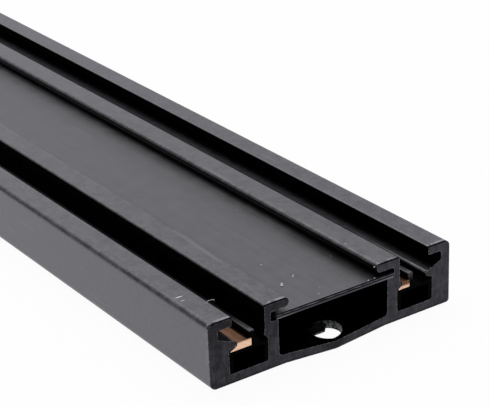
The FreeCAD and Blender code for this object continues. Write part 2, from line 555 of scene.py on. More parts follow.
@dataclass(frozen=True)
class SatinBlackAluminium(Finish):
    """Black anodised extrusion with a sawn end.

    Attributes:
        cut_roughness: Roughness of the sawn face.
        dark: Coat colour in the lines.
        light: Coat colour between the lines.
        scuffed: Coat colour in the scratches.
        cut_dark: Sawn face in its scratches.
        cut_light: Sawn face on its ridges.
        cut_gain: How much lighter the sawn face is on its right-hand side.
        cut_shade: Painted shade on the sawn face along its top, towards the left-hand side.
        low_edge_dark: Darker colour along the sawn face's lower edge and under the screw hole.
        recess_shade_dark: Painted shade, near black, inside the grooves, the cavity and the screw holes.
        recess_shade_light: Lighter patches in that painted shade.
        pocket_light: Painted light on the pockets' floors, rising towards the barbs' noses.
        torn: Torn metal in the screw holes.
        bare: Bare metal at the sharp edges.
        painted_highlight: Painted highlight along the left-hand barb's nose, a pale colour in place of
            light that reaches under the lip.
        painted_highlight_right: The same painted highlight along the right-hand barb's nose.
        nicked: Bright metal in the nicks.
        worn: Coat worn thin over the tips of the lips.
        fringed: Coat worn pale beside the sawn ends.
        chamfer_shade: Painted shade, near black, on the chamfers along the upper edges of the sawn ends.
        dust: Colour of the specks.
        grain_share: Share of the grain against the lines in the coat's tone.
        cloud_share: Share of the clouds in it.
        tone_limits: Where the mixed tone is at its darkest and its lightest.
        relief_share: Share of the grain against the lines in the relief.
        cut_cloud_share: Share of the clouds against the saw marks.
        edge_share: How much of the coat is gone along the sawn edges.
        low_edge_share: How much of the sawn face that darker colour hides.
        shade_share: How much of it the shade along the top hides, at the left-hand side.
        shade_end: Share of the width at which that shade ends.
        highlight_least: How strong the painted highlight on the noses is where the clouds are thinnest.
        fringe_clouds: Cloud values between which the fringe turns pale.
        fringe_facing: Slopes between which it reaches its full strength.
        fringe_least: Its strength on steeper faces.
        torn_grain: Grain values between which the screw holes' walls are torn.
        nose_span: Between which distances from the middle line the noses' painted highlight lies.
        nose_rise: Between which heights they are.
        highlight_length: How far from the sawn ends the painted highlight on the left-hand nose reaches.
        highlight_length_right: How far the one on the right-hand nose reaches.
        pocket_rise: Height above which that painted light has faded out.
        inside_reach: How far from the middle line the insides of the grooves reach.
        inside_top: Height of the undersides of the lips and hooks.
        inside_floor: Height above which only insides lie.
        shade_depth: How far below that top the sawn face's shade fades out.
        bulge_middle: Distance from the middle line to the crest of the floor's bulge.
        bulge_reach: Half the width of that bulge.
        bulge_depth: How far its crest hangs down.
        rim_fade: Between which heights above the lower edge the darker colour thickens.
        crest_fade: Between which distances from the crest it does.
        hole_reach: How far from the middle line the screw holes reach.
        hole_rise: Height of the screw holes' upper rims.
        tip_span: Between which distances from the middle line the lips' tips lie.
        tip_facing: Between which slopes their worn roundings lie.
        bevel_facing: Between which slopes the deburr chamfers lie.
        nicks: Bright nicks in the left-hand lip and the right-hand hook: across, along, half length.
        nick_turn: Angle between a nick and the section, in degrees.
        nick_slimness: Width of a nick over its length.
        nick_fade: Between which shares of its size a nick fades in.
    """

    ior: float = 2.0
    depth: float = 0.010 * MM
    roughness: Span = (0.30, 0.39)
    cut_roughness: float = 0.55
    dark: Colour = (0.014, 0.0138, 0.0152)
    light: Colour = (0.067, 0.0655, 0.072)
    scuffed: Colour = (0.095, 0.0935, 0.102)
    cut_dark: Colour = (0.018, 0.018, 0.020)
    cut_light: Colour = (0.074, 0.074, 0.079)
    cut_gain: Colour = (0.014, 0.014, 0.015)
    cut_shade: Colour = (0.018, 0.018, 0.020)
    low_edge_dark: Colour = (0.010, 0.010, 0.011)
    recess_shade_dark: Colour = (0.004, 0.004, 0.004)
    recess_shade_light: Colour = (0.022, 0.024, 0.022)
    pocket_light: Colour = (0.045, 0.045, 0.048)
    torn: Colour = (0.105, 0.115, 0.105)
    bare: Colour = (0.34, 0.34, 0.36)
    painted_highlight: Colour = (0.85, 0.78, 0.70)
    painted_highlight_right: Colour = (0.24, 0.24, 0.255)
    nicked: Colour = (0.85, 0.85, 0.86)
    worn: Colour = (0.125, 0.123, 0.135)
    fringed: Colour = (0.25, 0.245, 0.262)
    chamfer_shade: Colour = (0.012, 0.012, 0.013)
    dust: Colour = (0.42, 0.42, 0.42)
    grain_share: float = 0.7
    cloud_share: float = 0.5
    tone_limits: Span = (0.08, 0.92)
    relief_share: float = 0.75
    cut_cloud_share: float = 0.55
    edge_share: float = 0.9
    low_edge_share: float = 0.6
    shade_share: float = 0.6
    shade_end: float = 0.6
    highlight_least: float = 0.5
    fringe_clouds: Span = (0.2, 0.7)
    fringe_facing: Span = (0.3, 0.8)
    fringe_least: float = 0.2
    torn_grain: Span = (0.35, 0.75)
    nose_span: Span = (10.29 * MM, 10.46 * MM)
    nose_rise: Span = (3.62 * MM, 3.92 * MM)
    highlight_length: float = 3.0 * MM
    highlight_length_right: float = 12.0 * MM
    pocket_rise: float = 4.28 * MM
    inside_reach: float = 12.1 * MM
    inside_top: float = 5.4 * MM
    inside_floor: float = 0.2 * MM
    shade_depth: float = 2.6 * MM
    bulge_middle: float = 0.2 * MM
    bulge_reach: float = 5.4 * MM
    bulge_depth: float = 0.45 * MM
    rim_fade: Span = (0.26 * MM, 0.08 * MM)
    crest_fade: Span = (1.9 * MM, 0.3 * MM)
    hole_reach: float = 2.2 * MM
    hole_rise: float = 0.95 * MM
    tip_span: Span = (10.4 * MM, 11.1 * MM)
    tip_facing: Span = (0.25, 0.98)
    bevel_facing: Span = (0.35, 0.92)
    nicks: tuple[Point, ...] = (
        (-12.03 * MM, -494.22 * MM, 0.46 * MM),
        (-12.13 * MM, -494.97 * MM, 0.26 * MM),
        (5.25 * MM, -494.88 * MM, 0.20 * MM),
    )
    nick_turn: float = -2.0
    nick_slimness: float = 0.20
    nick_fade: Span = (1.1, 0.4)

    def _look(self, bench: NodeBench, shelf: EffectShelf) -> Look:
        """Joins the nodes of the finish.

        Args:
            bench: The material's bench.
            shelf: The shared effects.

        Returns:
            What goes into the surface shader.
        """
        lines = shelf.put(bench, Effect.DRAWN_LINES, Lines_per_metre=5000.0, Run=0.003)
        grain = shelf.put(bench, Effect.CLOUDS, Clouds_per_metre=3000.0)
        clouds = shelf.put(bench, Effect.CLOUDS, Clouds_per_metre=1200.0)
        scuffs = shelf.put(bench, Effect.SCUFFS)
        end = shelf.put(bench, Effect.SAWN_END)
        near_end = shelf.put(bench, Effect.SAWN_END, Depth=0.15 * MM)
        fringe = shelf.put(bench, Effect.SAWN_END, Depth=0.42 * MM)
        marks = shelf.put(bench, Effect.SAW_MARKS, Marks_per_metre=6000.0, Slant=0.12)
        wear = shelf.put(bench, Effect.EDGE_WEAR, Radius=0.09 * MM)
        specks = shelf.put(bench, Effect.DUST, Amount=0.012)
        tone = bench.between(self.cloud_share, bench.between(self.grain_share, lines, grain), clouds)
        tone = bench.span(tone, *self.tone_limits)
        coat = bench.blend(tone, self.dark, self.light)
        coat = bench.blend(scuffs, coat, self.scuffed)
        nose = self._nose(bench)
        # Painted highlight along the barbs' noses: a pale colour in place of light that reaches under the
        # lips.
        painted_highlight = bench.blend(bench.above(bench.across, 0.0), self.painted_highlight, self.painted_highlight_right)
        highlighting = bench.times(nose, bench.span(clouds, 0.0, 1.0, self.highlight_least, 1.0))
        coat = bench.blend(highlighting, coat, painted_highlight)
        coat = bench.blend(self._tips(bench), coat, self.worn)
        upwards = bench.span(bench.facing, *self.fringe_facing, self.fringe_least, 1.0)
        pale = bench.times(bench.span(clouds, *self.fringe_clouds), upwards)
        coat = bench.blend(bench.times(fringe, pale), coat, self.fringed)
        cut = bench.blend(bench.between(self.cut_cloud_share, marks, clouds), self.cut_dark, self.cut_light)
        rightwards = bench.span(bench.across, -HALF_WIDTH, HALF_WIDTH)
        cut = bench.blend(rightwards, cut, self.cut_gain, Overlay.ADD)
        # Painted shade along the top of the sawn face, fading out towards its right-hand side.
        topwards = bench.span(bench.height, self.inside_top - self.shade_depth, self.inside_top)
        shade = bench.times(topwards, bench.span(rightwards, 0.0, self.shade_end, self.shade_share, 0.0))
        cut = bench.blend(shade, cut, self.cut_shade)
        # Darker along the sawn face's lower edge and under the screw hole.
        cut = bench.blend(self._darkened_low(bench), cut, self.low_edge_dark)
        inside = bench.sum(Sum.SUBTRACT, self._inside(bench), end, clamp=True)
        inside = bench.sum(Sum.SUBTRACT, inside, nose, clamp=True)
        # Painted shade, near black, inside the grooves, the cavity and the screw holes.
        dull = bench.blend(clouds, self.recess_shade_dark, self.recess_shade_light)
        dull = bench.blend(self._in_hole(bench, grain), dull, self.torn)
        # Painted light on the pockets' floors, towards the barbs' noses.
        dull = bench.blend(self._in_pocket(bench), dull, self.pocket_light)
        colour = bench.blend(inside, bench.blend(end, coat, cut), dull)
        colour = bench.blend(bench.times(wear, near_end, self.edge_share), colour, self.bare)
        # Painted shade, near black, on the chamfers along the sawn ends' upper edges.
        shaded_chamfer = bench.times(bench.within(bench.facing, *self.bevel_facing), near_end)
        colour = bench.blend(bench.times(shaded_chamfer, self.edge_share), colour, self.chamfer_shade)
        colour = bench.blend(self._nicked(bench), colour, self.nicked)
        rough = bench.between(end, self._sheen(bench, tone), self.cut_roughness)
        return Look(
            colour=bench.blend(specks, colour, self.dust),
            roughness=bench.between(specks, rough, DUST_ROUGHNESS),
            relief=bench.between(end, bench.between(self.relief_share, lines, grain), marks),
            # Metallic on the painted shade and on the chamfers keeps their near-black colour from
            # reflecting.
            metallic=bench.largest(end, inside, shaded_chamfer),
        )

    def _nose(self, bench: NodeBench) -> Socket:
        """High along the barbs' noses, where a highlight is painted.

        Args:
            bench: The material's bench.

        Returns:
            The mask.
        """
        nose = bench.within(bench.aside, *self.nose_span)
        nose = bench.times(nose, bench.within(bench.height, *self.nose_rise))
        left = bench.by_end(self.highlight_length)
        right = bench.by_end(self.highlight_length_right)
        return bench.times(nose, bench.between(bench.above(bench.across, 0.0), left, right))

    def _tips(self, bench: NodeBench) -> Socket:
        """One on the rounded tips of the lips.

        Args:
            bench: The material's bench.

        Returns:
            The mask.
        """
        rounded = bench.within(bench.facing, *self.tip_facing)
        tips = bench.times(rounded, bench.within(bench.aside, *self.tip_span))
        return bench.times(tips, bench.above(bench.height, self.inside_top))

    def _inside(self, bench: NodeBench) -> Socket:
        """One inside the grooves, the cavity and the screw holes, where shade is painted.

        Args:
            bench: The material's bench.

        Returns:
            The mask.
        """
        upright = bench.span(bench.sum(Sum.ABSOLUTE, bench.facing), *STEEP)
        sheltered = bench.span(bench.facing, *STEEP)
        sheltered = bench.largest(sheltered, bench.below(bench.height, self.inside_top))
        sheltered = bench.times(sheltered, bench.above(bench.height, self.inside_floor))
        return bench.times(bench.largest(sheltered, upright), bench.below(bench.aside, self.inside_reach))

    def _darkened_low(self, bench: NodeBench) -> Socket:
        """High along the lower edge of the sawn face, and under the screw hole.

        Args:
            bench: The material's bench.

        Returns:
            The mask.
        """
        away = bench.sum(Sum.ABSOLUTE, bench.sum(Sum.SUBTRACT, bench.across, self.bulge_middle))
        underside = bench.span(away, 0.0, self.bulge_reach, -self.bulge_depth, 0.0)
        rise = bench.sum(Sum.SUBTRACT, bench.height, underside)
        rim = bench.span(rise, *self.rim_fade, 0.0, self.low_edge_share)
        crest = bench.span(away, *self.crest_fade, 0.0, self.low_edge_share)
        return bench.largest(rim, bench.times(crest, bench.below(rise, self.hole_rise)))

    def _in_hole(self, bench: NodeBench, grain: Socket) -> Socket:
        """High where the walls of the screw holes are torn.

        Args:
            bench: The material's bench.
            grain: What breaks the torn places up.

        Returns:
            The mask.
        """
        low = bench.below(bench.height, self.hole_rise)
        middle = bench.below(bench.aside, self.hole_reach)
        return bench.times(low, middle, bench.span(grain, *self.torn_grain))

    def _in_pocket(self, bench: NodeBench) -> Socket:
        """High on the floors of the pockets under the lips, towards the barbs' noses, where light is
        painted.

        Args:
            bench: The material's bench.

        Returns:
            The mask.
        """
        nose_bottom, nose_top = self.nose_rise
        lower = bench.span(bench.height, self.pocket_rise, nose_top)
        sloping = bench.times(bench.span(bench.facing, *SLOPING), bench.above(bench.height, nose_bottom))
        return bench.times(lower, bench.times(sloping, bench.above(bench.aside, self.nose_span[0])))

    def _nicked(self, bench: NodeBench) -> Socket:
        """One in the nicks of the lip and the hook.

        Args:
            bench: The material's bench.

        Returns:
            The mask.
        """
        turn = (0.0, 0.0, math.radians(self.nick_turn))
        nicks: list[Socket] = []
        for across, along, half in self.nicks:
            size = (half, half * self.nick_slimness, 1.0)
            moved = bench.add(
                "ShaderNodeMapping", bench.place, (across, along, 0.0), turn, size, vector_type="TEXTURE"
            )
            away = bench.add("ShaderNodeVectorMath", moved.outputs[0], operation="LENGTH")
            nicks.append(bench.span(away.outputs["Value"], *self.nick_fade))
        return bench.times(bench.largest(*nicks), bench.above(bench.height, self.inside_top))


@dataclass(frozen=True)
class BlackCoatedSteel(Finish):
    """Black coated steel strip with a sheared end.

    Attributes:
        dark: Coat colour in the rolling lines.
        light: Coat colour between them.
        scuffed: Coat colour in the scratches.
        hook_shadow: Painted shadow, near black, on the strip beside the right-hand hook, by the front sawn
            end.
        bare: Bare metal at the sheared edge.
        rolled: Dark parts of the sheared face.
        fracture: Torn line along the middle of the sheared face.
        burr: Light burr along its lower edge.
        corner: The burr towards the strip's two sides.
        dust: Colour of the specks.
        grain_share: Share of the grain against the lines in the coat's tone.
        cloud_share: Share of the clouds in it.
        relief_share: Share of the grain against the lines in the relief.
        underside: Height of the strip's lower face.
        thickness: Thickness of the strip.
        fracture_top: Shares of the thickness between which the torn line ends upwards.
        fracture_foot: Shares between which it ends downwards.
        burr_top: Shares between which the burr sets in.
        corner_span: Distances from the middle line between which the burr brightens.
        hook_shadow_span: Between which places across the strip the painted shadow thickens.
        hook_shadow_run: Between which places along it.
        hook_shadow_share: How much of the coat it hides at its thickest.
        lip_share: How much of the coat is gone all along the sheared edge.
    """

    ior: float = 2.0
    depth: float = 0.001 * MM
    roughness: Span = (0.39, 0.46)
    dark: Colour = (0.006, 0.006, 0.0066)
    light: Colour = (0.056, 0.055, 0.060)
    scuffed: Colour = (0.050, 0.050, 0.054)
    hook_shadow: Colour = (0.004, 0.004, 0.0045)
    bare: Colour = (0.50, 0.50, 0.52)
    rolled: Colour = (0.004, 0.004, 0.005)
    fracture: Colour = (0.170, 0.170, 0.180)
    burr: Colour = (0.075, 0.075, 0.082)
    corner: Colour = (0.140, 0.140, 0.148)
    dust: Colour = (0.45, 0.45, 0.45)
    grain_share: float = 0.4
    cloud_share: float = 0.35
    relief_share: float = 0.7
    underside: float = 4.45 * MM
    thickness: float = 0.5 * MM
    fracture_top: Span = (0.72, 0.77)
    fracture_foot: Span = (0.56, 0.51)
    burr_top: Span = (0.34, 0.24)
    corner_span: Span = (3.8 * MM, 5.6 * MM)
    hook_shadow_span: Span = (2.9 * MM, 4.4 * MM)
    hook_shadow_run: Span = (-483.0 * MM, -496.0 * MM)
    hook_shadow_share: float = 0.65
    lip_share: float = 0.12

    def _look(self, bench: NodeBench, shelf: EffectShelf) -> Look:
        """Joins the nodes of the finish.

        Args:
            bench: The material's bench.
            shelf: The shared effects.

        Returns:
            What goes into the surface shader.
        """
        lines = shelf.put(bench, Effect.DRAWN_LINES, Lines_per_metre=3500.0, Run=0.006)
        grain = shelf.put(bench, Effect.FINE_GRAIN, Grains_per_metre=5000.0)
        clouds = shelf.put(bench, Effect.CLOUDS, Clouds_per_metre=600.0)
        scuffs = shelf.put(bench, Effect.SCUFFS, Scratches_per_metre=4000.0)
        end = shelf.put(bench, Effect.SAWN_END)
        near_end = shelf.put(bench, Effect.SAWN_END, Depth=0.12 * MM)
        wear = shelf.put(bench, Effect.EDGE_WEAR, Radius=0.07 * MM, Breaks_per_metre=1500.0)
        marks = shelf.put(bench, Effect.SAW_MARKS, Marks_per_metre=5000.0, Slant=1.4)
        specks = shelf.put(bench, Effect.DUST, Amount=0.025)
        tone = bench.between(self.cloud_share, bench.between(self.grain_share, lines, grain), clouds)
        coat = bench.blend(tone, self.dark, self.light)
        coat = bench.blend(scuffs, coat, self.scuffed)
        # Painted shadow of the right-hand hook on the strip, by the front sawn end.
        hook_shadow_mask = bench.span(bench.across, *self.hook_shadow_span, 0.0, self.hook_shadow_share)
        hook_shadow_mask = bench.times(hook_shadow_mask, bench.span(bench.along, *self.hook_shadow_run))
        coat = bench.blend(hook_shadow_mask, coat, self.hook_shadow)
        share = bench.share_up(self.underside, self.thickness)
        torn = bench.blend(marks, self.rolled, self.fracture)
        face = bench.blend(bench.span(share, *self.fracture_top), torn, self.rolled)
        face = bench.blend(bench.span(share, *self.fracture_foot), face, self.rolled)
        burr = bench.blend(bench.span(bench.aside, *self.corner_span), self.burr, self.corner)
        face = bench.blend(bench.span(share, *self.burr_top), face, burr)
        edge = bench.times(bench.largest(wear, self.lip_share), bench.sum(Sum.SUBTRACT, near_end, end))
        colour = bench.blend(edge, bench.blend(end, coat, face), self.bare)
        return Look(
            colour=bench.blend(specks, colour, self.dust),
            roughness=bench.between(specks, self._sheen(bench, tone), DUST_ROUGHNESS),
            relief=bench.between(self.relief_share, lines, grain),
            # Metallic on the painted shadow keeps its near-black colour from reflecting.
            metallic=bench.largest(end, hook_shadow_mask),
        )


@dataclass(frozen=True)
class BlackPlastic(Finish):
    """Extruded black plastic of the insulators, dull where it is cut, with a painted highlight on the rims.

    Attributes:
        cut_roughness: Roughness of the cut face.
        dark: Colour in the extrusion lines.
        light: Colour between them.
        cut: Dull cut face.
        cut_top: Cut face of the rims.
        painted_highlight: Painted highlight, pale grey, on the tops of the rims.
        highlight_least: How strong it is where the tone is darkest.
        grain_share: Share of the grain against the lines in the tone.
        rim_from: Height from which the rims get the painted highlight.
        rim_root: Height where the rims start.
        rim_facing: Between which slopes the rims' edges lie.
        flat_share: How strong the painted highlight is on the flat tops, against the edges.
        highlight_length: How far from the sawn ends the painted highlight reaches along the rims.
        tip_length: How far from the sawn ends it covers the rims right across, not only their edges.
    """

    ior: float = 1.5
    depth: float = 0.003 * MM
    roughness: Span = (0.39, 0.53)
    cut_roughness: float = 0.8
    dark: Colour = (0.002, 0.002, 0.0024)
    light: Colour = (0.006, 0.006, 0.0068)
    cut: Colour = (0.0012, 0.0012, 0.0014)
    cut_top: Colour = (0.0012, 0.0012, 0.0014)
    painted_highlight: Colour = (0.15, 0.15, 0.16)
    highlight_least: float = 0.6
    grain_share: float = 0.5
    rim_from: float = 4.23 * MM
    rim_root: float = 3.45 * MM
    rim_facing: Span = (0.1, 0.97)
    flat_share: float = 0.15
    highlight_length: float = 4.0 * MM
    tip_length: float = 0.8 * MM

    def _look(self, bench: NodeBench, shelf: EffectShelf) -> Look:
        """Joins the nodes of the finish.

        Args:
            bench: The material's bench.
            shelf: The shared effects.

        Returns:
            What goes into the surface shader.
        """
        lines = shelf.put(bench, Effect.DRAWN_LINES, Lines_per_metre=9000.0, Run=0.003)
        grain = shelf.put(bench, Effect.FINE_GRAIN, Grains_per_metre=12000.0)
        end = shelf.put(bench, Effect.SAWN_END)
        mixed = bench.between(self.grain_share, lines, grain)
        skin = bench.blend(mixed, self.dark, self.light)
        # Painted highlight on the rims near the sawn ends.
        rim = bench.times(bench.above(bench.height, self.rim_from), bench.by_end(self.highlight_length))
        share = bench.largest(bench.within(bench.facing, *self.rim_facing), bench.by_end(self.tip_length))
        share = bench.span(share, 0.0, 1.0, self.flat_share, 1.0)
        share = bench.times(share, bench.span(mixed, 0.0, 1.0, self.highlight_least, 1.0))
        skin = bench.blend(bench.times(rim, share), skin, self.painted_highlight)
        cut = bench.blend(bench.span(bench.height, self.rim_root, self.rim_from), self.cut, self.cut_top)
        return Look(
            colour=bench.blend(end, skin, cut),
            roughness=bench.between(end, self._sheen(bench, mixed), self.cut_roughness),
            relief=mixed,
            metallic=bench.sum(Sum.SUBTRACT, 1.0, rim, clamp=True),
        )


@dataclass(frozen=True)
class DrawnCopper(Finish):
    """Drawn copper bar, tarnished on its faces, with a bright cut end.

    Attributes:
        bright: Cleaner copper of the drawn faces.
        tarnish: Browned copper.
        cloud_share: Share of the clouds against the lines in the tone.
        cut: Freshly cut end.
        cut_dark: Scratches of the cut end.
        painted_highlight: Painted highlight of bright copper along the worn edges.
        highlight_share: How strong that painted highlight is.
        upper_cut_dark: Darker upper part of the cut end.
        underside: Height of the bar's lower face.
        thickness: Thickness of the bar.
        upper_cut_span: Shares of the cut end's height between which the darker part sets in.
        rim_shadow: Painted shadow, near black, along the bar's right-hand side, next to the insulator's
            rim.
        rim_shadow_from: Distance from the section's middle where that painted shadow starts.
        rim_shadow_fade: How far it takes to thicken.
    """

    bright: Colour = (0.30, 0.155, 0.088)
    tarnish: Colour = (0.17, 0.083, 0.045)
    cloud_share: float = 0.5
    cut: Colour = (1.0, 0.76, 0.54)
    cut_dark: Colour = (0.86, 0.52, 0.31)
    painted_highlight: Colour = (0.95, 0.68, 0.52)
    highlight_share: float = 0.6
    upper_cut_dark: Colour = (0.16, 0.085, 0.052)
    underside: float = 2.96 * MM
    thickness: float = 0.7 * MM
    upper_cut_span: Span = (0.75, 1.05)
    rim_shadow: Colour = (0.020, 0.011, 0.008)
    rim_shadow_from: float = -9.25 * MM
    rim_shadow_fade: float = 0.2 * MM

    def _look(self, bench: NodeBench, shelf: EffectShelf) -> Look:
        """Joins the nodes of the finish.

        Args:
            bench: The material's bench.
            shelf: The shared effects.

        Returns:
            What goes into the surface shader.
        """
        lines = shelf.put(bench, Effect.DRAWN_LINES, Lines_per_metre=8000.0, Run=0.004)
        clouds = shelf.put(bench, Effect.CLOUDS, Clouds_per_metre=1500.0)
        end = shelf.put(bench, Effect.SAWN_END)
        marks = shelf.put(bench, Effect.SAW_MARKS, Marks_per_metre=9000.0, Slant=1.1)
        wear = shelf.put(bench, Effect.EDGE_WEAR, Radius=0.12 * MM, Breaks_per_metre=600.0)
        drawn = bench.blend(bench.between(self.cloud_share, lines, clouds), self.bright, self.tarnish)
        # Painted highlight along the edges, laid on through the edge wear mask.
        drawn = bench.blend(bench.times(wear, self.highlight_share), drawn, self.painted_highlight)
        # Painted shadow of the insulator's rim along the bar's right-hand side.
        rim_shadow_mask = bench.span(bench.across, self.rim_shadow_from, self.rim_shadow_from + self.rim_shadow_fade)
        drawn = bench.blend(rim_shadow_mask, drawn, self.rim_shadow)
        share = bench.share_up(self.underside, self.thickness)
        upper_cut_mask = bench.span(share, *self.upper_cut_span)
        cut = bench.blend(upper_cut_mask, bench.blend(marks, self.cut_dark, self.cut), self.upper_cut_dark)
        return Look(
            colour=bench.blend(end, drawn, cut),
            roughness=self._sheen(bench, lines),
            relief=bench.between(end, lines, marks),
            metallic=1.0,
        )


@dataclass(frozen=True)
class BareChip(Finish):
    """Bare metal of the chips that the saw left.

    Attributes:
        bright: Torn metal.
        dull: Metal that the saw's smearing has dulled.
    """

    depth: float = 0.004 * MM
    roughness: Span = (0.4, 0.6)
    bright: Colour = (0.85, 0.85, 0.86)
    dull: Colour = (0.55, 0.55, 0.57)

    def _look(self, bench: NodeBench, shelf: EffectShelf) -> Look:
        """Joins the nodes of the finish, all from one grain."""
        grain = shelf.put(bench, Effect.FINE_GRAIN, Grains_per_metre=15000.0)
        return Look(bench.blend(grain, self.dull, self.bright), self._sheen(bench, grain), grain)


@dataclass
class TrackBody:
    """The black extrusion and the steel strip that luminaires hold on to.

    Attributes:
        shelf: The shared effects.
        profile_finish: Finish of the extrusion.
        strip_finish: Finish of the steel strip.
    """

    shelf: EffectShelf
    profile_finish: Finish = SatinBlackAluminium("satin_black_aluminium")
    strip_finish: Finish = BlackCoatedSteel("black_coated_steel")

    def dress(self) -> bpy.types.Material:
        """Gives both pieces their finishes.

        Returns:
            The extrusion's material.
        """
        coat = self.profile_finish.material(self.shelf)
        paint("track_profile", coat)
        paint("steel_strip", self.strip_finish.material(self.shelf))
        return coat


@dataclass
class Conductors:
    """The two copper bars and the insulators that hold them.

    Attributes:
        shelf: The shared effects.
        left_bar_finish: Finish of the left-hand copper bar.
        right_bar_finish: Finish of the right-hand copper bar, the same copper made darker as painted shade.
        left_insulator_finish: Finish of the left-hand insulator.
        right_insulator_finish: Finish of the right-hand insulator, with a painted highlight on the cut face
            of its rims.
    """

    shelf: EffectShelf
    left_bar_finish: Finish = DrawnCopper("drawn_copper")
    # The right-hand bar's copper is a darker copy of the left-hand one's: painted shade.
    right_bar_finish: Finish = DrawnCopper(
        "shaded_copper",
        bright=(0.13, 0.066, 0.038),
        tarnish=(0.07, 0.033, 0.018),
        cut=(1.0, 0.74, 0.55),
        cut_dark=(0.70, 0.42, 0.27),
        upper_cut_dark=(0.14, 0.07, 0.04),
        upper_cut_span=(0.25, 0.55),
        rim_shadow_from=8.0 * MM,
    )
    left_insulator_finish: Finish = BlackPlastic("black_plastic_extrusion")
    # Painted highlight on the cut face of the right-hand insulator's rims.
    right_insulator_finish: Finish = BlackPlastic("lit_rim_plastic_extrusion", cut_top=(0.12, 0.095, 0.09))

    def dress(self) -> None:
        """Gives the four pieces their finishes."""
        paint("conductor_left", self.left_bar_finish.material(self.shelf))
        paint("conductor_right", self.right_bar_finish.material(self.shelf))
        paint("insulator_left", self.left_insulator_finish.material(self.shelf))
        paint("insulator_right", self.right_insulator_finish.material(self.shelf))


